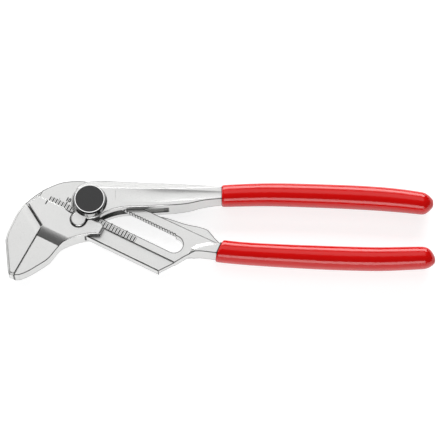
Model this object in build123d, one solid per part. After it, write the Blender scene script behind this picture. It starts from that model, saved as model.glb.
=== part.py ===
from build123d import *
import os
from math import cos, hypot, radians, sin

# Pliers wrench, 250 mm long, lying flat with its jaws closed.
# The origin is on the pivot axis, in the plane of the rear face. +X runs along the
# handles, +Y towards the upper handle and +Z out of the face with the push button.
# The "track" is the slanted slot: the jaws open along it, square to the jaw faces.

# Reach of the two ends, which the outlines follow
head_reach = 50.0
handle_reach = 200.0
track_angle = -27.2

# Half thicknesses, all measured from the middle plane of the tool
flange_half = 2.2
rail_half = 3.0
jaw_half = 4.5
cheek_half = 6.4
fork_half = 7.5
neck_half = 6.0
tang_half = 5.0

# Clearances
shaft_gap = 0.05
face_gap = 0.1
guide_gap = 0.15
lobe_gap = 0.35
swing_gap = 0.3
sleeve_gap = 0.05
overrun = 4.0

# Slotted lever: rail with the slot, thinner flange, and the bead that keeps the jaw on
rail_drop = 10.0
rail_rise = 11.0
rail_rise_end = 12.3
flange_drop = 18.4
flange_end = 55.4
bead_height = 0.7
slot_start = -4.2
slot_tail = 12.5
rack_level = 0.2
tooth_pitch = 1.8
tooth_depth = 0.9
size_steps = 24
spare_teeth = 6

# Jaws
face_gap_closed = 0.1
throat_drop = 32.3
jaw_bevel = 1.2
neck_bevel = 2.6
forging_ease = 0.4
grip_face_ease = 0.25
jaw_ramp_length = 5.0
jaw_ramp_drop = 0.4
cheek_ramp_length = 6.5
cheek_ramp_bulge = 0.3

# Fork of the upper lever and its two driving lobes
fork_radius = 10.9
fork_window_end = 46.0
lobe_radius = 4.5
lobe_drop = 12.9
lobe_back = 0.6
lobe_fillet = 0.9
handle_swing = 30.0
brow_angle = 140.0
top_bevel_width = 5.0
top_bevel_depth = 3.5
bevel_start_up = 8.9
bevel_fall = 0.021
taper_start = 44.0
entry_half = 5.5
scoop_start = 15.0
scoop_depth = 0.45
scoop_end_depth = 0.2
scoop_width = 8.4
scoop_end_width = 4.0

# Pivot bush, lock bolt and push button
bush_radius = 5.2
bush_flange_radius = 6.8
bush_flange_thickness = 1.0
button_bore_floor = 5.1
spring_pocket_radius = 4.6
spring_pocket_floor = 3.8
bolt_radius = 3.4
bolt_stem_radius = 2.8
bolt_tail = 1.8
key_height = 2.6
key_teeth = 4
button_radius = 8.8
button_wall = 0.9
button_web = 0.8
button_rise = 3.7
button_travel = 2.9
cap_radius = 8.25
cap_thickness = 0.8
cap_edge = 0.25
collar_wall = 0.65
collar_lip = 0.6
collar_top_wall = 0.4
collar_rise = 2.2
rear_cap_radius = 8.0
rear_cap_thickness = 1.8
rear_spigot = 0.7
spring_wire = 0.6
spring_turns = 4
spring_radius = 4.05

# Grips
grip_width = 14.4
grip_height = 13.0
grip_corner = 5.2
tang_height = 6.0
neck_height = 6.8
mouth_lean = 0.42
tang_end_share = 0.955

mid_height = fork_half
slot_half = bush_radius + face_gap
slot_end = size_steps * tooth_pitch + slot_tail
fork_inner = rail_half + face_gap
cheek_inner = flange_half + guide_gap
bead_inner = rail_half + guide_gap
cheek_top = rail_drop + guide_gap
web_top = flange_drop + bead_height + guide_gap
sweep_radius = fork_radius + swing_gap
collar_inner = button_radius + guide_gap
collar_outer = collar_inner + collar_wall
collar_base_radius = collar_outer + collar_lip
collar_top_radius = collar_inner + collar_top_wall
rear_floor = fork_half - rear_cap_thickness
key_top = rack_level + face_gap + key_height
button_web_top = fork_half + button_rise - cap_thickness
bore_seat = button_bore_floor + face_gap
lobe_reach = hypot(lobe_drop, lobe_back)
jaw_follow = lobe_drop * sin(radians(handle_swing)) + lobe_back * (1 - cos(radians(handle_swing)))
mid_place = Location((0, 0, mid_height))
track_place = Location((0, 0, mid_height), (0, 0, track_angle))

# Outlines, as shares of the reach of their end. The jaw faces' place along the track
# and their tip's drop across it come first, then places across and up from the pivot.
jaw_face_share = 0.365
jaw_tip_share = 1.204
jaw_back_shares = (
    (-0.942, -0.852),
    (-0.984, -0.464),
    (-0.961, -0.364),
    (-0.920, -0.262),
    (-0.860, -0.128),
    (-0.734, 0.037),
    (-0.602, 0.145),
    (-0.460, 0.222),
    (-0.342, 0.268),
    (-0.202, 0.287),
    (-0.066, 0.283),
)
jaw_nose_shares = (-0.930, -0.886)
# Along and across the track
flange_bump_shares = (
    (0.800, 0.236),
    (0.950, 0.268),
    (1.110, 0.290),
    (1.320, 0.340),
    (1.384, 0.344),
    (1.520, 0.282),
)
cheek_end_shares = ((-0.580, -0.203), (-0.632, -0.354))
wedge_back_shares = (
    (-0.308, -1.172),
    (-0.228, -1.074),
    (-0.158, -0.952),
    (-0.106, -0.852),
    (-0.082, -0.742),
    (-0.064, -0.640),
)
cheek_belly_shares = (
    (-0.044, -0.588),
    (0.012, -0.516),
    (0.098, -0.428),
    (0.192, -0.356),
    (0.290, -0.300),
)
arm_end_shares = ((0.292, -0.206), (0.262, -0.180), (0.120, -0.184))

# Across and up from the pivot again, as shares of the handle reach
neck_under_shares = (
    (0.2510, -0.1835),
    (0.2710, -0.1705),
    (0.2885, -0.1605),
    (0.3090, -0.1550),
    (0.3400, -0.1560),
)
neck_over_shares = (
    (0.2860, -0.1660),
    (0.3000, -0.1400),
    (0.3150, -0.1300),
    (0.3470, -0.1235),
)
lever_top_shares = (
    (-0.026, 0.0575),
    (-0.004, 0.0685),
    (0.030, 0.0715),
    (0.150, 0.0652),
    (0.265, 0.0595),
    (0.388, 0.0495),
)
lever_under_shares = (
    (0.0215, -0.0500),
    (0.0460, -0.0352),
    (0.0695, -0.0260),
    (0.0900, -0.0210),
    (0.1485, -0.0180),
    (0.2070, -0.0150),
    (0.2650, -0.0100),
    (0.2945, -0.0054),
    (0.3240, 0.0025),
    (0.3675, 0.0095),
    (0.3880, 0.0115),
)
upper_line_shares = (
    (0.388, 0.0303),
    (0.514, 0.0360),
    (0.617, 0.0325),
    (0.704, 0.0297),
    (0.821, 0.0243),
    (0.909, 0.0164),
    (0.968, 0.0086),
    (1.009, 0.0072),
)
lower_line_shares = (
    (0.3795, -0.1432),
    (0.4410, -0.1508),
    (0.5285, -0.1565),
    (0.6165, -0.1612),
    (0.7040, -0.1652),
    (0.8210, -0.1690),
    (0.8795, -0.1686),
    (0.9675, -0.1650),
    (1.0110, -0.1715),
)
# Swelling of a grip from its mouth to the start of its closed end, at even steps
swell_shares = (0.93, 0.95, 0.965, 0.98, 0.99, 1.0, 1.015, 1.02, 1.0, 0.955)
# Closed end of a grip: how far along its last stretch, and how tall and wide there
tip_shares = (
    (0.27, 0.845, 0.93),
    (0.55, 0.640, 0.86),
    (0.77, 0.370, 0.74),
    (0.91, 0.190, 0.56),
    (1.00, 0.070, 0.34),
)


face_place = jaw_face_share * head_reach
jaw_tip_drop = jaw_tip_share * head_reach


def reach_points(shares, reach):
    """Places across and up from the pivot, from a table of shares of one reach."""
    return [(along * reach, up * reach) for along, up in shares]


def track_point(along, across):
    """Place across and up from the pivot, from distances along and across the track."""
    turn = radians(track_angle)
    return (
        along * cos(turn) - across * sin(turn),
        along * sin(turn) + across * cos(turn),
    )


def track_line(place):
    """Distance along the track of a place across and up from the pivot."""
    turn = radians(track_angle)
    return place[0] * cos(turn) + place[1] * sin(turn)


def track_points(shares, reach):
    """Places across and up from the pivot, from shares along and across the track."""
    return [track_point(along, across) for along, across in reach_points(shares, reach)]


def both_sides(face, half):
    """Plate of an outline, as thick on both sides of the middle plane."""
    return mid_place * extrude(face, amount=half, both=True)


def track_block(start, end, low, high, bottom, top):
    """Block square to the track, between two distances along, across and in height."""
    block = Box(end - start, high - low, top - bottom)
    centre = ((start + end) / 2, (low + high) / 2, (bottom + top) / 2)
    return track_place * Pos(centre) * block


def pivot_disc(radius, bottom, top):
    """Round disc on the pivot axis, between two heights from the middle plane."""
    return Pos(0, 0, mid_height + bottom) * Cylinder(
        radius, top - bottom, align=(Align.CENTER, Align.CENTER, Align.MIN)
    )


def closed_face(*stretches):
    """Face inside stretches of lines and curves that meet end to end."""
    return make_face([edge for part in stretches for edge in part.edges()])


def eased(plate, half, size, low=-head_reach, high=handle_reach):
    """Plate with its two rims chamfered, between two distances along the track."""
    rims = []
    for edge in plate.edges():
        middle = edge @ 0.5
        along = track_line((middle.X, middle.Y))
        on_rim = abs(abs(middle.Z - mid_height) - half) < shaft_gap
        if on_rim and low < along < high:
            rims.append(edge)
    return chamfer(rims, size)


def tang(line_shares, grow):
    """Bar inside a grip, along the handle's centre line, with room all round."""
    line = [point for point in line_shares if point[0] < tang_end_share]
    last = line[-1]
    following = line_shares[len(line)]
    reached = (tang_end_share - last[0]) / (following[0] - last[0])
    end_up_share = last[1] + reached * (following[1] - last[1])
    centres = reach_points(line, handle_reach)
    half = tang_height / 2 + grow
    start_x = centres[0][0] - mouth_lean * tang_height
    end = (tang_end_share * handle_reach + grow, end_up_share * handle_reach)
    centres = [(start_x, centres[0][1]), *centres[1:], end]
    over = [(x, y + half) for x, y in centres]
    under = [(x, y - half) for x, y in centres]
    return both_sides(
        closed_face(
            Spline(*over),
            Line(over[-1], under[-1]),
            Spline(*under),
            Line(under[0], over[0]),
        ),
        tang_half + grow,
    )


def grip_section(place, tall, wide, lean=0):
    """Rounded outline of a grip across the handle, leaning towards the tip at its top."""
    height = grip_height * tall * hypot(1, lean)
    outline = RectangleRounded(height, grip_width * wide, grip_corner * tall)
    plane = Plane(origin=(place.X, place.Y, mid_height), x_dir=(lean, 1, 0), z_dir=(1, -lean, 0))
    return plane * outline


def grip(line_shares, lean):
    """Dipped sleeve over a tang: open at the lever's end, rounded and closed at the tip."""
    centres = reach_points(line_shares, handle_reach)
    line = Spline(*centres[:-1])
    rings = []
    for ring, swell in enumerate(swell_shares):
        place = line @ (ring / (len(swell_shares) - 1))
        rings.append(grip_section(place, swell, min(swell, 1), lean if ring == 0 else 0))
    tip_start = line @ 1
    run = Vector(*centres[-1]) - tip_start
    tip_rings = [rings[-1]]
    for along, tall, wide in tip_shares:
        tip_rings.append(grip_section(tip_start + run * along, tall, wide))
    return loft(rings) + loft(tip_rings, ruled=True) - tang(line_shares, sleeve_gap)


def slotted_lever():
    """Forging with the fixed jaw, the toothed slot and the lower handle's tang."""
    tip = track_point(-face_place, -jaw_tip_drop)
    nose = (jaw_nose_shares[0] * head_reach, jaw_nose_shares[1] * head_reach)
    back = reach_points(jaw_back_shares, head_reach)
    rail_start = track_point(0, rail_rise)
    bump = track_points(flange_bump_shares, head_reach)
    half_neck = neck_height / 2
    entry_x, entry_y = reach_points(lower_line_shares, handle_reach)[0]
    under = reach_points(neck_under_shares, handle_reach)
    over = reach_points(neck_over_shares, handle_reach)
    entry_over = (entry_x + mouth_lean * half_neck, entry_y + half_neck)
    entry_under = (entry_x - mouth_lean * half_neck, entry_y - half_neck)
    corner = track_point(flange_end, -flange_drop)
    throat = track_point(-face_place, -flange_drop)

    jaw_back = [
        Line(tip, nose),
        Line(nose, back[0]),
        Line(back[0], back[1]),
        Spline(*back[1:], rail_start),
    ]
    silhouette = closed_face(
        *jaw_back,
        Line(rail_start, bump[0]),
        Spline(*bump[:-1]),
        Line(bump[-2], bump[-1]),
        Line(bump[-1], entry_over),
        Line(entry_over, entry_under),
        Spline(entry_under, *under[::-1]),
        Line(under[0], corner),
        Line(corner, throat),
        Line(throat, tip),
    )
    flange = both_sides(silhouette, flange_half)
    rail_end = track_point(track_line(entry_over) + overrun, rail_rise_end)
    rail_left = cheek_end_shares[0][0] * head_reach
    rail_band = make_face(
        Polyline(
            track_point(rail_left, -rail_drop),
            track_point(track_line(entry_over) + overrun, -rail_drop),
            rail_end,
            track_point(0, rail_rise),
            track_point(0, rail_rise + overrun),
            track_point(rail_left, rail_rise + overrun),
            close=True,
        )
    )
    rail = both_sides(silhouette & rail_band, rail_half)
    bead = track_block(
        -face_place, flange_end, -flange_drop - bead_height, -flange_drop, -rail_half, rail_half
    )
    below = entry_under[1] - overrun
    beyond = entry_over[0] + overrun
    neck_area = closed_face(
        Polyline(*over),
        Line(over[-1], entry_over),
        Line(entry_over, (beyond, entry_over[1])),
        Line((beyond, entry_over[1]), (beyond, below)),
        Line((beyond, below), (over[0][0], below)),
        Line((over[0][0], below), over[0]),
    )
    neck = both_sides(silhouette & neck_area, neck_half)
    for start, end in zip(over[:-1], over[1:]):
        neck -= neck_bevel_cut(start, end)
    jaw = both_sides(
        closed_face(*jaw_back, Line(rail_start, throat), Line(throat, tip)),
        jaw_half,
    )
    jaw = eased(jaw, jaw_half, jaw_bevel, high=-face_place - jaw_bevel)
    jaw = eased(jaw, jaw_half, grip_face_ease, -face_place - face_gap, -face_place + face_gap)
    jaw -= fixed_jaw_relief()
    body = flange + rail + bead + neck + jaw + tang(lower_line_shares, 0)
    return body - slot_cut()


def neck_bevel_cut(start, end):
    """Wedges that slope both faces of the neck down to one straight run of its upper edge."""
    run = Vector(end[0] - start[0], end[1] - start[1])
    along = run.normalized()
    before = Vector(start[0], start[1], mid_height) - along * head_reach
    plane = Plane(origin=before, x_dir=(along.Y, -along.X, 0), z_dir=along)
    wedges = Part()
    for side in (1, -1):
        rim = side * neck_half
        slope = Polyline(
            (-overrun, rim - side * (neck_bevel + overrun)),
            (neck_bevel + overrun, rim + side * overrun),
            (-overrun, rim + side * overrun),
            close=True,
        )
        wedges += extrude(plane * make_face(slope), amount=2 * head_reach + run.length)
    return wedges


def fixed_jaw_relief():
    """Room for the sliding jaw's cheeks beside the fixed jaw, with the low ramp behind it."""
    upper = track_points(cheek_end_shares, head_reach)[1]
    lower = track_point(-face_place, cheek_ramp_length - throat_drop)
    run = Vector(lower[0] - upper[0], lower[1] - upper[1])
    along = run.normalized()
    start = Vector(upper[0], upper[1], mid_height) - along * head_reach
    plane = Plane(origin=start, x_dir=(along.Y, -along.X, 0), z_dir=along)
    relief = Part()
    for side in (1, -1):
        ramp = Polyline(
            (-swing_gap, side * flange_half),
            (swing_gap, side * flange_half),
            (swing_gap, side * (jaw_half - jaw_ramp_drop)),
            (jaw_ramp_length, side * jaw_half),
            (jaw_ramp_length, side * (jaw_half + overrun)),
            (-head_reach, side * (jaw_half + overrun)),
            (-head_reach, side * flange_half),
            close=True,
        )
        relief += extrude(plane * make_face(ramp), amount=2 * head_reach + run.length)
    return relief


def rack_line(shift):
    """Saw-tooth line of the rack, from the slot's wall outwards and back again."""
    lead = int(-slot_start / tooth_pitch)
    count = lead + size_steps + spare_teeth
    points = []
    for tooth in range(count):
        place = (tooth - lead) * tooth_pitch
        points.append((place, slot_half + shift))
        points.append((place + tooth_pitch / 2, slot_half + tooth_depth + shift))
    points.append(((count - lead) * tooth_pitch, slot_half + shift))
    return points


def slot_cut():
    """Slot with a plain rear half and a toothed upper wall in its front half."""
    length = slot_end - slot_start
    plain = track_place * Pos((slot_start + slot_end) / 2, 0, 0) * extrude(
        SlotCenterToCenter(length, 2 * slot_half), amount=rail_half + overrun, both=True
    )
    teeth = rack_line(0)
    start, end = teeth[0][0], teeth[-1][0]
    rack = make_face(Polyline(*teeth, (end, 0), (start, 0), close=True))
    rack = track_place * Pos(0, 0, rack_level) * extrude(rack, amount=rail_half + overrun)
    relief = track_block(
        start,
        end,
        0,
        slot_half + tooth_depth + guide_gap,
        -rail_half - overrun,
        rack_level,
    )
    return plain + rack + relief


def jaw_ramp_cut(side):
    """What is taken off one side of the sliding jaw, from its cheek down to its wedge."""
    start = (cheek_ramp_length - throat_drop, side * cheek_half)
    foot = (-throat_drop, side * jaw_half)
    middle = (
        (start[0] + foot[0]) / 2,
        side * ((cheek_half + jaw_half) / 2 + cheek_ramp_bulge),
    )
    past = -jaw_tip_drop - overrun
    above = side * (cheek_half + overrun)
    profile = closed_face(
        ThreePointArc(start, middle, foot),
        Line(foot, (past, foot[1])),
        Line((past, foot[1]), (past, above)),
        Line((past, above), (start[0], above)),
        Line((start[0], above), start),
    )
    return track_place * extrude(Plane.YZ * profile, amount=head_reach, both=True)


def movable_jaw():
    """Sliding jaw: a wedge whose two cheeks straddle the flange and hook its bead."""
    face_at = -face_place + face_gap_closed
    tip = track_point(face_at, -jaw_tip_drop)
    corner = track_point(face_at, cheek_ramp_length - throat_drop)
    top_left = track_point(cheek_end_shares[0][0] * head_reach, -cheek_top)
    top_right = track_point(0, -cheek_top)
    end = track_point(cheek_end_shares[1][0] * head_reach, cheek_end_shares[1][1] * head_reach)
    back = track_points(wedge_back_shares, head_reach)
    belly = track_points(cheek_belly_shares, head_reach)
    arm = track_points(arm_end_shares, head_reach)
    body = both_sides(
        closed_face(
            Line(tip, back[0]),
            Spline(*back),
            Line(back[-1], belly[0]),
            Spline(*belly),
            Line(belly[-1], arm[0]),
            Line(arm[0], arm[1]),
            Line(arm[1], arm[2]),
            Line(arm[2], top_right),
            Line(top_right, top_left),
            Line(top_left, end),
            Line(end, corner),
            Line(corner, tip),
        ),
        cheek_half,
    )
    body = eased(body, cheek_half, forging_ease)
    body = body - jaw_ramp_cut(1) - jaw_ramp_cut(-1)
    body = eased(body, jaw_half, grip_face_ease, face_at - face_gap, face_at + face_gap)
    low, high = -cheek_half - overrun, cheek_half + overrun
    body -= track_block(-head_reach, head_reach, -web_top, overrun, -cheek_inner, cheek_inner)
    body -= track_block(-head_reach, face_at, -jaw_tip_drop, overrun, -cheek_inner, cheek_inner)
    body -= track_block(-head_reach, head_reach, -cheek_top, overrun, -bead_inner, bead_inner)
    body -= track_block(
        -head_reach,
        head_reach,
        -web_top,
        guide_gap - flange_drop,
        -bead_inner,
        bead_inner,
    )
    notch_radius = lobe_radius + lobe_gap
    notch_at = track_point(-lobe_back, -lobe_drop)
    body -= Pos(*notch_at, 0) * pivot_disc(notch_radius, low, high)
    body -= track_block(
        -lobe_back - notch_radius, notch_radius - lobe_back, -lobe_drop, overrun, low, high
    )
    sweep = SlotCenterToCenter(jaw_follow, 2 * sweep_radius)
    body -= track_place * Pos(-jaw_follow / 2, 0, 0) * extrude(sweep, amount=high, both=True)
    return body


def arm_scoop(sign, end):
    """Shallow hollow forged along one face of the arm, just below the ridge of its bevel."""
    rises = (
        (scoop_start, sign * fork_half, shaft_gap, scoop_width),
        (taper_start, sign * fork_half, scoop_depth, scoop_width),
        (end, sign * entry_half, scoop_end_depth, scoop_end_width),
    )
    sections = []
    for place, level, depth, width in rises:
        ridge_up = bevel_start_up - bevel_fall * (place + fork_radius + overrun)
        low_up = ridge_up - width
        above = level + sign * overrun
        outline = closed_face(
            ThreePointArc(
                (ridge_up, level), ((ridge_up + low_up) / 2, level - sign * depth), (low_up, level)
            ),
            Line((low_up, level), (low_up, above)),
            Line((low_up, above), (ridge_up, above)),
            Line((ridge_up, above), (ridge_up, level)),
        )
        sections.append(Plane(origin=(place, 0, mid_height), x_dir=(0, 1, 0), z_dir=(1, 0, 0)) * outline)
    return loft(sections, ruled=True)


def upper_lever():
    """Forged lever: a fork that straddles the slotted lever, with a driving lobe a side."""
    top = reach_points(lever_top_shares, handle_reach)
    under = reach_points(lever_under_shares, handle_reach)
    brow = radians(brow_angle)
    brow_start = (fork_radius * cos(brow), fork_radius * sin(brow))
    arm = closed_face(
        Spline(brow_start, *top),
        Line(top[-1], under[-1]),
        Spline(*under[::-1]),
        Line(under[0], (0, 0)),
        Line((0, 0), brow_start),
    )
    lobe_at = track_point(-lobe_back, -lobe_drop)
    outline = arm + Circle(fork_radius) + Pos(*lobe_at) * Circle(lobe_radius)
    crooks = [
        corner
        for corner in outline.vertices()
        if abs(hypot(corner.X - lobe_at[0], corner.Y - lobe_at[1]) - lobe_radius) < shaft_gap
        and abs(hypot(corner.X, corner.Y) - fork_radius) < shaft_gap
    ]
    outline = fillet(crooks, lobe_fillet)
    body = eased(both_sides(outline, fork_half), fork_half, forging_ease)
    reach = handle_reach / 2
    for sign in (1, -1):
        above = sign * (fork_half + overrun)
        taper = Polyline(
            (taper_start, sign * fork_half),
            (top[-1][0], sign * entry_half),
            (top[-1][0] + overrun, sign * entry_half),
            (top[-1][0] + overrun, above),
            (taper_start, above),
            close=True,
        )
        body -= mid_place * extrude(Plane.XZ * make_face(taper), amount=reach, both=True)
        slope = top_bevel_depth / top_bevel_width
        bevel = Polyline(
            (0, sign * fork_half),
            (fork_half / slope, 0),
            (fork_half / slope, above),
            (0, above),
            close=True,
        )
        ridge = Plane(
            origin=(-fork_radius - overrun, bevel_start_up, mid_height),
            x_dir=(bevel_fall, 1, 0),
            z_dir=(1, -bevel_fall, 0),
        )
        body -= extrude(ridge * make_face(bevel), amount=handle_reach)
        body -= arm_scoop(sign, top[-1][0])
    window = Box(
        fork_window_end + fork_radius + overrun,
        2 * (fork_radius + lobe_reach),
        2 * fork_inner,
        align=(Align.MAX, Align.CENTER, Align.CENTER),
    )
    body -= Pos(fork_window_end, 0, mid_height) * window
    body -= pivot_disc(bush_radius + shaft_gap, -fork_half - overrun, fork_half + overrun)
    body -= pivot_disc(collar_outer + sleeve_gap, button_bore_floor, fork_half + overrun)
    body -= pivot_disc(rear_cap_radius + guide_gap, -fork_half - overrun, face_gap - rear_floor)
    return body + tang(upper_line_shares, 0)


def pivot_bush():
    """Hollow pivot in the slot and both fork cheeks, with a flange and a keyway."""
    body = pivot_disc(bush_radius, -rear_floor, bore_seat)
    body += pivot_disc(bush_flange_radius, bore_seat, bore_seat + bush_flange_thickness)
    body -= pivot_disc(bolt_radius + shaft_gap, -rear_floor - overrun, fork_half)
    body -= pivot_disc(spring_pocket_radius, spring_pocket_floor, fork_half)
    half_key = key_teeth * tooth_pitch / 2 + shaft_gap
    body -= track_block(
        -half_key, half_key, 0, bush_radius + overrun, -rear_floor - overrun, key_top + shaft_gap
    )
    return body


def lock_bolt():
    """Pin under the button, with a toothed key that meshes with the rack."""
    half_key = key_teeth * tooth_pitch / 2
    teeth = []
    for tooth in range(key_teeth):
        place = tooth * tooth_pitch - half_key
        teeth.append((place, slot_half - face_gap))
        teeth.append((place + tooth_pitch / 2, slot_half - face_gap + tooth_depth))
    teeth.append((half_key, slot_half - face_gap))
    key = extrude(
        make_face(Polyline(*teeth, (half_key, 0), (-half_key, 0), close=True)), amount=key_height
    )
    body = pivot_disc(bolt_radius, -bolt_tail, spring_pocket_floor)
    body += pivot_disc(bolt_stem_radius, spring_pocket_floor, button_web_top)
    return body + track_place * Pos(0, 0, key_top - key_height) * key


def push_button():
    """Turned steel cup on the bolt's stem, with a recess for the black cap."""
    top = fork_half + button_rise
    body = pivot_disc(button_radius, bore_seat + button_travel, top)
    body -= pivot_disc(button_radius - button_wall, 0, button_web_top - button_web)
    body -= pivot_disc(cap_radius + sleeve_gap, button_web_top, top + overrun)
    return body - pivot_disc(bolt_stem_radius, 0, top)


def button_cap():
    """Black moulded disc pressed into the button."""
    disc = pivot_disc(cap_radius, button_web_top, button_web_top + cap_thickness)
    return fillet(disc.edges().sort_by(Axis.Z)[-1], cap_edge)


def button_collar():
    """Turned ring pressed into the front cheek, which guards the button's edge."""
    profile = Polyline(
        (collar_inner, bore_seat),
        (collar_outer, bore_seat),
        (collar_outer, fork_half),
        (collar_base_radius, fork_half),
        (collar_top_radius, fork_half + collar_rise),
        (collar_inner, fork_half + collar_rise),
        close=True,
    )
    return mid_place * revolve(Plane.XZ * make_face(profile), Axis.Z)


def button_spring():
    """Compression spring between the bush's pocket and the button."""
    low = spring_pocket_floor + spring_wire / 2
    height = button_web_top - button_web - spring_pocket_floor - spring_wire
    coil = Helix(height / spring_turns, height, spring_radius)
    wire = sweep(Plane(origin=coil @ 0, z_dir=coil % 0) * Circle(spring_wire / 2), path=coil)
    return Pos(0, 0, mid_height + low) * wire


def rear_cap():
    """Flush disc behind the fork, whose spigot is pressed into the bush."""
    body = pivot_disc(rear_cap_radius, -fork_half, -rear_floor)
    body = chamfer(body.edges().sort_by(Axis.Z)[0], cap_edge)
    return body + pivot_disc(bolt_radius + shaft_gap, -rear_floor, rear_spigot - rear_floor)


parts = {
    "slotted_lever": slotted_lever(),
    "movable_jaw": movable_jaw(),
    "upper_lever": upper_lever(),
    "pivot_bush": pivot_bush(),
    "lock_bolt": lock_bolt(),
    "push_button": push_button(),
    "button_cap": button_cap(),
    "button_collar": button_collar(),
    "button_spring": button_spring(),
    "rear_cap": rear_cap(),
    "upper_grip": grip(upper_line_shares, 0),
    "lower_grip": grip(lower_line_shares, mouth_lean),
}

os.makedirs("parts", exist_ok=True)
for node, solid in parts.items():
    solid.label = node
    export_step(solid, f"parts/{node}.step")
    print(node, len(solid.solids()), round(solid.volume), solid.is_valid)
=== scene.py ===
from math import cos, radians, sin

import bpy
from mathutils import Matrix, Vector


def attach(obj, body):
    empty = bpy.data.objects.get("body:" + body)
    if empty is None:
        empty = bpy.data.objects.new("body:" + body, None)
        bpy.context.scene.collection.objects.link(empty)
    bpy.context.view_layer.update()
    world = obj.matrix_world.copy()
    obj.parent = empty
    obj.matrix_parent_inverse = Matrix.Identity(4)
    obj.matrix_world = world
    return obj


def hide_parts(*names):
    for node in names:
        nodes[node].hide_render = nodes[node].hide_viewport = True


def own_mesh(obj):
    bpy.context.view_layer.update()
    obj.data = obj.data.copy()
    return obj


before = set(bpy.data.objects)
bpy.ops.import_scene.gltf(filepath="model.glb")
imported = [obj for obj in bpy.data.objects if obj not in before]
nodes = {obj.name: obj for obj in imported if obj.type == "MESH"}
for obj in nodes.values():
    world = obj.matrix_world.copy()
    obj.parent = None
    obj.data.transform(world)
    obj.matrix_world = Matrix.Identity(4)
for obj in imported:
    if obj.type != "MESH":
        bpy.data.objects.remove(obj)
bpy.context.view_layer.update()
MM = 0.001

# Camera: the photograph looks from the front and steeply down, through a long lens.
# The aim is the point of the tool's front plane that the picture's centre shows.
view_elevation = radians(68.5)
view_distance = 1443 * MM
view_aim = Vector((77.6, -13.3, 15)) * MM
lens_length = 200
film_width = 36
far_limit = 20
view_back = Vector((0, -cos(view_elevation), sin(view_elevation)))
bpy.ops.object.camera_add(location=view_aim + view_back * view_distance)
camera = bpy.context.object
camera.rotation_euler = view_back.to_track_quat("Z", "Y").to_euler()
camera.data.lens = lens_length
camera.data.sensor_width = film_width
camera.data.clip_end = far_limit
bpy.context.scene.camera = camera
bpy.context.scene.view_settings.view_transform = "Standard"


# Studio: a plain table in matt white paint, which looks white to the camera and in reflections
# and still takes the tool's soft shadow. Its top is set a hair below the tool's rear face, so
# that the two faces don't flicker through each other.
def srgb(code):
    """Linear colour of an sRGB hex value."""
    parts = [int(code[place:place + 2], 16) / 255 for place in (1, 3, 5)]
    return tuple(c / 12.92 if c <= 0.04045 else ((c + 0.055) / 1.055) ** 2.4 for c in parts) + (1,)


def add_node(tree, kind, inputs=None, links=None, **settings):
    """One node, with its settings, its constant inputs and its links."""
    node = tree.nodes.new(kind)
    for name, value in settings.items():
        setattr(node, name, value)
    for socket, value in (inputs or {}).items():
        node.inputs[socket].default_value = value
    for socket, output in (links or {}).items():
        tree.links.new(output, node.inputs[socket])
    return node


def new_material(name):
    """Empty node material and the tree that it is drawn in."""
    material = bpy.data.materials.new(name)
    material.use_nodes = True
    material.node_tree.nodes.clear()
    return material, material.node_tree


table_size = 6
table_gap = 0.2
table_lift = 0.8
bpy.ops.mesh.primitive_plane_add(size=table_size, location=(0, 0, -table_gap * MM))
table_top = bpy.context.object
table_top.name = "table_top"
table_paint, tree = new_material("white_table_paint")
rays = add_node(tree, "ShaderNodeLightPath")
seen = add_node(tree, "ShaderNodeMath", operation="MAXIMUM",
                links={0: rays.outputs["Is Camera Ray"], 1: rays.outputs["Is Glossy Ray"]})
seen = add_node(tree, "ShaderNodeMath", operation="MAXIMUM",
                links={0: seen.outputs[0], 1: rays.outputs["Is Transmission Ray"]})
lift = add_node(tree, "ShaderNodeMath", operation="MULTIPLY", inputs={1: table_lift},
                links={0: seen.outputs[0]})
glow = add_node(tree, "ShaderNodeEmission", links={"Strength": lift.outputs[0]})
paint = add_node(tree, "ShaderNodeBsdfDiffuse", inputs={"Color": srgb("#b0b0b0")})
both = add_node(tree, "ShaderNodeAddShader", links={0: glow.outputs[0], 1: paint.outputs[0]})
add_node(tree, "ShaderNodeOutputMaterial", links={"Surface": both.outputs[0]})
table_top.data.materials.append(table_paint)

# Soft boxes: the far box draws the broad pale streak along each grip, the top box lights the
# flats, the front box draws the thin streak low on the grips and the left box fills. Each has
# its lean and its turn from the far side in degrees, distance and size in metres, and watts.
soft_boxes = {
    "far_box": (62, 0, 1.35, (1.9, 0.66), 25),
    "top_box": (22, 0, 1.5, (1.7, 0.76), 4.2),
    "front_box": (69, 180, 1.45, (1.4, 0.86), 15),
    "left_box": (65, 60, 1.4, (0.7, 0.6), 3),
}
for name, (lean, turn, distance, size, power) in soft_boxes.items():
    back = Vector((-sin(radians(turn)), cos(radians(turn)), 0)) * sin(radians(lean))
    back.z = cos(radians(lean))
    bpy.ops.object.light_add(type="AREA", location=view_aim + back * distance)
    lamp = bpy.context.object
    lamp.name = name
    lamp.data.shape = "RECTANGLE"
    lamp.data.size, lamp.data.size_y = size
    lamp.data.energy = power
    lamp.rotation_euler = back.to_track_quat("Z", "Y").to_euler()
room_grey = 0.08
world = bpy.data.worlds.new("studio_room")
world.use_nodes = True
world.node_tree.nodes["Background"].inputs["Color"].default_value = (room_grey,) * 3 + (1,)
bpy.context.scene.world = world

# Slotted lever: one drop forging with the fixed jaw, the slot and the lower handle's tang. Its
# flats are ground, fine blasted and satin chrome plated, so they mirror the soft boxes as a
# blurred pale grey. The finish paints a thin dark line of shade along each rim.
noise_low, noise_high = 0.3, 0.7
cloud_size = 14
cloud_tone = 0.97
# The painted rim shade fades out between these two levels of how open the solid is inside its
# edge.
rim_shade_start, rim_shade_end = 0.78, 0.99
painted_rim_shade_tone = 0.08
rough_swing = 0.04


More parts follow.
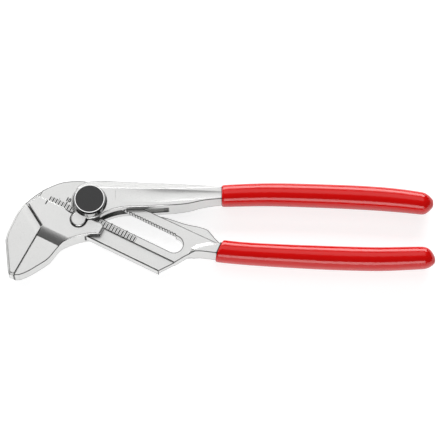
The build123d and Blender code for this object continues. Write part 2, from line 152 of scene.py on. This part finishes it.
def steel_finish(name, colour, rough, grain, grain_depth, rim):
    """Plated or ground steel with painted shade along its eased rims. Grain and rim sizes are in
    mm.
    """
    material, tree = new_material(name)
    where = add_node(tree, "ShaderNodeTexCoord").outputs["Object"]
    blast = add_node(tree, "ShaderNodeTexNoise", links={"Vector": where},
                     inputs={"Scale": 1 / (grain * MM), "Detail": 3, "Roughness": 0.6})
    cloud = add_node(tree, "ShaderNodeTexNoise", links={"Vector": where},
                     inputs={"Scale": 1 / (cloud_size * MM), "Detail": 2})
    tone = add_node(tree, "ShaderNodeMapRange", links={"Value": cloud.outputs["Fac"]},
                    inputs={"From Min": noise_low, "From Max": noise_high,
                            "To Min": cloud_tone, "To Max": 1})
    easing = add_node(tree, "ShaderNodeBevel", inputs={"Radius": rim * MM}, samples=6)
    # Inside occlusion near each rim darkens the base colour: a painted shade line along every
    # edge.
    depth = add_node(tree, "ShaderNodeAmbientOcclusion", inputs={"Distance": rim * MM},
                     inside=True, only_local=True, samples=8)
    edge = add_node(tree, "ShaderNodeMapRange", links={"Value": depth.outputs["AO"]},
                    inputs={"From Min": rim_shade_start, "From Max": rim_shade_end,
                            "To Min": painted_rim_shade_tone, "To Max": 1})
    shade = add_node(tree, "ShaderNodeMath", operation="MULTIPLY",
                     links={0: tone.outputs["Result"], 1: edge.outputs["Result"]})
    base = add_node(tree, "ShaderNodeMix", data_type="RGBA", blend_type="MULTIPLY",
                    inputs={"Factor": 1, "A": srgb(colour)})
    tree.links.new(shade.outputs[0], base.inputs["B"])
    blur = add_node(tree, "ShaderNodeMapRange", links={"Value": blast.outputs["Fac"]},
                    inputs={"From Min": noise_low, "From Max": noise_high,
                            "To Min": rough - rough_swing, "To Max": rough + rough_swing})
    bump = add_node(tree, "ShaderNodeBump",
                    inputs={"Strength": 0.35, "Distance": grain_depth * MM},
                    links={"Height": blast.outputs["Fac"], "Normal": easing.outputs["Normal"]})
    shader = add_node(tree, "ShaderNodeBsdfPrincipled", inputs={"Metallic": 1},
                      links={"Base Color": base.outputs["Result"],
                             "Roughness": blur.outputs["Result"],
                             "Normal": bump.outputs["Normal"]})
    add_node(tree, "ShaderNodeOutputMaterial", links={"Surface": shader.outputs[0]})
    return material


def dress(node, material):
    """Gives a CAD node the finish of the real piece."""
    nodes[node].data.materials[0] = material


# Blasted grain is commonly some 0.05 mm wide, too fine to show in the render, so it is drawn
# at 0.35 mm. The finer grains of the other steel finishes are drawn at 0.2 mm.
plate = steel_finish("satin_chrome_plate", "#dcdcdb", rough=0.30, grain=0.35, grain_depth=0.02,
                     rim=0.60)
dress("slotted_lever", plate)

# Size scale: one black etched mark for each millimetre of opening, with a longer one at every
# fifth, and the plain number of the first ten, on the rail's front face. Marks all alike, as
# the real ones most likely are, would blur to grey, so every second is drawn broad to show.
track_angle = radians(-27.2)
rail_level = 10.5
mark_height = 0.02
thin_mark = 0.2
broad_mark = 0.66
scale_zero = -22.5
scale_length = 57
mark_low = -9.75
first_reach = 3.4
mark_reach = 3.6
fifth_reach = 4.8
speckle_size = 0.12


def track_place(along, across, height):
    """Place, in metres, from millimetres along and across the slanted track."""
    return Vector((
        along * cos(track_angle) - across * sin(track_angle),
        along * sin(track_angle) + across * cos(track_angle),
        height,
    )) * MM


def apply_place(piece):
    """Writes a piece's place, turn and size into its mesh."""
    bpy.ops.object.select_all(action="DESELECT")
    piece.select_set(True)
    bpy.context.view_layer.objects.active = piece
    bpy.ops.object.transform_apply(location=True, rotation=True, scale=True)


def etched_bar(along, low, high, level, width):
    """One etched line across the track, with its two ends, as a very low bar."""
    bpy.ops.mesh.primitive_cube_add(
        size=1,
        location=track_place(along, (low + high) / 2, level + mark_height / 2),
        rotation=(0, 0, track_angle),
        scale=(width * MM, (high - low) * MM, mark_height * MM),
    )


# Etching leaves the steel black and matt, with a speckle that keeps any shine off it.
etching, tree = new_material("black_etched_mark")
speckle = add_node(tree, "ShaderNodeTexNoise",
                   inputs={"Scale": 1 / (speckle_size * MM), "Detail": 2},
                   links={"Vector": add_node(tree, "ShaderNodeTexCoord").outputs["Object"]})
ink = add_node(tree, "ShaderNodeMix", data_type="RGBA", links={"Factor": speckle.outputs["Fac"]},
               inputs={"A": srgb("#0c0c0e"), "B": srgb("#1c1c1e")})
shader = add_node(tree, "ShaderNodeBsdfPrincipled",
                  inputs={"Roughness": 0.7, "Specular IOR Level": 0.2},
                  links={"Base Color": ink.outputs["Result"]})
add_node(tree, "ShaderNodeOutputMaterial", links={"Surface": shader.outputs[0]})

bpy.ops.object.select_all(action="DESELECT")
etched_bar(scale_zero, mark_low, mark_low + first_reach, rail_level, broad_mark)
scale_marks = bpy.context.object
scale_marks.name = "scale_marks"
apply_place(scale_marks)
bpy.ops.object.mode_set(mode="EDIT")
for step in range(1, scale_length + 1):
    reach = mark_reach if step % 5 else fifth_reach
    width = thin_mark if step % 2 else broad_mark
    etched_bar(scale_zero + step, mark_low, mark_low + reach, rail_level, width)
bpy.ops.object.mode_set(mode="OBJECT")
scale_marks.data.materials.append(etching)
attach(scale_marks, "fixed_lever")

numbered_step = 10
number_low = mark_low + 5.1
number_height = 3.2
number_weight = 0.16
bpy.ops.object.text_add(
    location=track_place(scale_zero + numbered_step, number_low, rail_level),
    rotation=(0, 0, track_angle),
)
scale_number = bpy.context.object
scale_number.name = "scale_number"
scale_number.data.body = str(numbered_step)
scale_number.data.align_x = "CENTER"
scale_number.data.size = number_height * MM
scale_number.data.offset = number_weight * MM
scale_number.data.extrude = mark_height * MM / 2
bpy.ops.object.convert(target="MESH")
scale_number = bpy.context.object
apply_place(scale_number)
scale_number.data.materials.clear()
scale_number.data.materials.append(etching)
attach(scale_number, "fixed_lever")

# Movable jaw: a second forging in the same satin plate, whose two cheeks straddle the lever's
# flange and slide along it. A line etched on its front cheek reads the opening on the scale.
dress("movable_jaw", plate)
cheek_level = 13.9
index_low, index_high = -13.3, -10.6
bpy.ops.object.select_all(action="DESELECT")
etched_bar(scale_zero, index_low, index_high, cheek_level, broad_mark)
index_mark = bpy.context.object
index_mark.name = "index_mark"
apply_place(index_mark)
index_mark.data.materials.append(etching)
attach(index_mark, "sliding_jaw")

# Upper lever: the third forging, a fork over the slotted lever that swings on the pivot, in
# the same satin plate. Its arm is bevelled along the top and hollowed a little below that.
dress("upper_lever", plate)

# Pivot bush, lock bolt and rear cap: turned from bar, hardened and finely ground, so they
# mirror more sharply than the forgings. The bush runs in the slot and holds the other two.
turned = steel_finish("fine_turned_steel", "#e2e2e2", rough=0.12, grain=0.2, grain_depth=0.004,
                      rim=0.12)
for node in ("pivot_bush", "lock_bolt", "rear_cap"):
    dress(node, turned)

# Button spring: cold drawn spring wire, coiled four turns and left bright, so each turn glints
# softly. It stands in the bush's pocket and shortens as the button is pressed. The piece is a
# copy of its solid's mesh with the doubled points merged, because only a new piece squashes.
spring_wire, tree = new_material("drawn_spring_wire")
# Marks of the drawing die are commonly finer than 0.3 mm and are drawn that coarse to show.
draw_mark = 0.3
drawn = add_node(tree, "ShaderNodeTexNoise", inputs={"Scale": 1 / (draw_mark * MM)},
                 links={"Vector": add_node(tree, "ShaderNodeTexCoord").outputs["Object"]})
blur = add_node(tree, "ShaderNodeMapRange", links={"Value": drawn.outputs["Fac"]},
                inputs={"To Min": 0.2, "To Max": 0.4})
shader = add_node(tree, "ShaderNodeBsdfPrincipled",
                  inputs={"Metallic": 1, "Base Color": srgb("#a9a7a3")},
                  links={"Roughness": blur.outputs["Result"]})
add_node(tree, "ShaderNodeOutputMaterial", links={"Surface": shader.outputs[0]})
merge_gap = 0.001
coil_mesh = nodes["button_spring"].data.copy()
button_coil = bpy.data.objects.new("button_coil", coil_mesh)
bpy.context.scene.collection.objects.link(button_coil)
coil_mesh.materials.clear()
coil_mesh.materials.append(spring_wire)
bpy.ops.object.select_all(action="DESELECT")
button_coil.select_set(True)
bpy.context.view_layer.objects.active = button_coil
bpy.ops.object.mode_set(mode="EDIT")
bpy.ops.mesh.select_all(action="SELECT")
bpy.ops.mesh.remove_doubles(threshold=merge_gap * MM)
bpy.ops.object.mode_set(mode="OBJECT")
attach(button_coil, "carriage")
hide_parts("button_spring")
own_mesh(button_coil)

# Push button and its collar: a turned steel cup pressed on the bolt's stem, and a ring pressed
# on the fork round it. Both are polished and chrome plated, so they mirror the soft boxes and
# the dark room almost sharply. The collar stands lower, and its chrome is painted darker as shade.
cup_chrome = steel_finish("polished_turned_steel", "#ffffff", rough=0.12, grain=0.2,
                          grain_depth=0.002, rim=0.04)
dress("push_button", cup_chrome)
# A darker copy of the cup's chrome: painted shade in the ring round the button.
shaded_collar_chrome = steel_finish("polished_turned_collar_painted_shade", "#868686", rough=0.09, grain=0.2,
                             grain_depth=0.002, rim=0.08)
dress("button_collar", shaded_collar_chrome)

# Button cap: a black nylon disc, moulded in a spark-textured tool and pressed into the cup.
# The fine texture spreads the light, so the black looks like an even, matt dark grey. Such a
# texture is commonly some 0.1 mm wide and is drawn at 0.25 mm, so that it can show.
spark_size = 0.25
spark_depth = 0.02
nylon, tree = new_material("black_moulded_nylon")
where = add_node(tree, "ShaderNodeTexCoord").outputs["Object"]
spark = add_node(tree, "ShaderNodeTexNoise", links={"Vector": where},
                 inputs={"Scale": 1 / (spark_size * MM), "Detail": 2})
tone = add_node(tree, "ShaderNodeMix", data_type="RGBA", links={"Factor": spark.outputs["Fac"]},
                inputs={"A": srgb("#161617"), "B": srgb("#202021")})
bump = add_node(tree, "ShaderNodeBump", inputs={"Strength": 0.4, "Distance": spark_depth * MM},
                links={"Height": spark.outputs["Fac"]})
shader = add_node(tree, "ShaderNodeBsdfPrincipled", inputs={"Roughness": 0.6, "IOR": 1.53},
                  links={"Base Color": tone.outputs["Result"], "Normal": bump.outputs["Normal"]})
add_node(tree, "ShaderNodeOutputMaterial", links={"Surface": shader.outputs[0]})
dress("button_cap", nylon)

# Grips: each handle's tang is dipped in hot red vinyl, which runs off to a roof-shaped tip and
# sets with a glossy, very slightly dimpled skin. The gloss mirrors the soft boxes as long pale
# streaks, and the dimples, some 3.5 mm apart, make the streaks waver a little.
dimple_size = 3.5
dimple_depth = 0.05
dip_cloud_size = 22
vinyl, tree = new_material("red_dipped_vinyl")
where = add_node(tree, "ShaderNodeTexCoord").outputs["Object"]
dimple = add_node(tree, "ShaderNodeTexNoise", links={"Vector": where},
                  inputs={"Scale": 1 / (dimple_size * MM), "Detail": 1})
dip_cloud = add_node(tree, "ShaderNodeTexNoise", links={"Vector": where},
                     inputs={"Scale": 1 / (dip_cloud_size * MM), "Detail": 2})
red = add_node(tree, "ShaderNodeMix", data_type="RGBA", links={"Factor": dip_cloud.outputs["Fac"]},
               inputs={"A": srgb("#d20302"), "B": srgb("#de0604")})
gloss = add_node(tree, "ShaderNodeMapRange", links={"Value": dimple.outputs["Fac"]},
                 inputs={"From Min": noise_low, "From Max": noise_high,
                         "To Min": 0.13, "To Max": 0.19})
bump = add_node(tree, "ShaderNodeBump", inputs={"Strength": 0.3, "Distance": dimple_depth * MM},
                links={"Height": dimple.outputs["Fac"]})
shader = add_node(tree, "ShaderNodeBsdfPrincipled", inputs={"IOR": 1.5},
                  links={"Base Color": red.outputs["Result"], "Roughness": gloss.outputs["Result"],
                         "Normal": bump.outputs["Normal"]})
add_node(tree, "ShaderNodeOutputMaterial", links={"Surface": shader.outputs[0]})

grip_tall = 13.35
grip_wide = 14.6
grip_round = 5.4
grip_facets = 3
rounding_steps = 2
mid_level = 7.5
ring_slack = 0.01


def select_ring(piece, along):
    """Selects the points of a piece that stand at one distance along X."""
    bpy.ops.mesh.select_all(action="DESELECT")
    bpy.ops.object.mode_set(mode="OBJECT")
    for point in piece.data.vertices:
        point.select = abs(point.co.x / MM - along) < ring_slack
    bpy.ops.object.mode_set(mode="EDIT")


def dipped_grip(name, node, body, rings, tip_rings, lean):
    """Sleeve modelled from a block: bevelled, cut into rings, bent and closed at its tip.

    A ring is its place along X, its place in Y, and its shares of the full height and width.
    The lean slants the sleeve's mouth.
    """
    start, end = rings[0][0], tip_rings[-1][0]
    bpy.ops.object.select_all(action="DESELECT")
    bpy.ops.mesh.primitive_cube_add(
        size=1,
        location=Vector(((start + end) / 2, 0, mid_level)) * MM,
        scale=Vector((end - start, grip_tall, grip_wide)) * MM,
    )
    piece = bpy.context.object
    piece.name = name
    apply_place(piece)
    bpy.ops.object.mode_set(mode="EDIT")
    bpy.ops.mesh.select_mode(type="EDGE")
    bpy.ops.mesh.select_all(action="DESELECT")
    bpy.ops.object.mode_set(mode="OBJECT")
    for edge in piece.data.edges:
        first, last = (piece.data.vertices[point].co for point in edge.vertices)
        edge.select = abs(first.x - last.x) > MM
    bpy.ops.object.mode_set(mode="EDIT")
    bpy.ops.mesh.bevel(offset=grip_round * MM, segments=grip_facets, affect="EDGES")
    bpy.ops.mesh.select_mode(type="VERT")
    for ring in (*rings[1:], *tip_rings[:-1]):
        bpy.ops.mesh.select_all(action="SELECT")
        bpy.ops.mesh.bisect(plane_co=(ring[0] * MM, 0, 0), plane_no=(1, 0, 0))
    for along, up, tall, wide in (*rings, *tip_rings):
        select_ring(piece, along)
        centre = Vector((along, 0, mid_level)) * MM
        bpy.ops.transform.resize(value=(1, tall, wide), center_override=centre)
        bpy.ops.transform.translate(value=(0, up * MM, 0))
    bpy.ops.object.mode_set(mode="OBJECT")
    for point in piece.data.vertices:
        if point.co.x / MM < rings[1][0] + ring_slack:
            point.co.x += lean * (point.co.y - rings[0][1] * MM)
    rounding = piece.modifiers.new("rounding", "SUBSURF")
    rounding.levels = rounding.render_levels = rounding_steps
    bpy.ops.object.modifier_apply(modifier="rounding")
    bpy.ops.object.shade_smooth()
    piece.data.materials.append(vinyl)
    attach(piece, body)
    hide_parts(node)


upper_rings = (
    (77.3, 6.06, 0.93, 0.93),
    (77.7, 6.08, 0.935, 0.94),
    (102.8, 7.20, 0.968, 0.98),
    (123.4, 6.50, 0.995, 1.0),
    (140.8, 5.94, 1.0, 1.0),
    (164.2, 4.86, 1.02, 1.0),
    (181.8, 3.28, 1.0, 1.0),
    (190.0, 2.20, 0.97, 0.98),
)
upper_tip = (
    (195.2, 1.45, 0.95, 0.97),
    (197.4, 1.25, 0.92, 0.91),
    (200.2, 1.28, 0.64, 0.62),
    (201.9, 1.25, 0.34, 0.34),
    (202.19, 1.25, 0.26, 0.26),
)
lower_rings = (
    (75.9, -28.64, 0.925, 0.93),
    (76.3, -28.68, 0.93, 0.94),
    (88.2, -30.16, 0.945, 0.97),
    (105.7, -31.30, 0.96, 0.99),
    (123.3, -32.24, 0.985, 1.0),
    (140.8, -33.04, 1.01, 1.0),
    (164.2, -33.80, 1.005, 1.0),
    (175.9, -33.72, 1.0, 1.0),
    (189.5, -33.15, 0.965, 0.98),
)
lower_tip = (
    (195.2, -33.00, 0.95, 0.97),
    (197.8, -33.00, 0.89, 0.90),
    (200.5, -33.50, 0.62, 0.60),
    (201.9, -34.30, 0.30, 0.32),
    (202.19, -34.50, 0.20, 0.24),
)
upper_lean = 0
lower_lean = 0.42
dipped_grip("upper_grip_sleeve", "upper_grip", "handle", upper_rings, upper_tip, upper_lean)
dipped_grip("lower_grip_sleeve", "lower_grip", "fixed_lever", lower_rings, lower_tip, lower_lean)
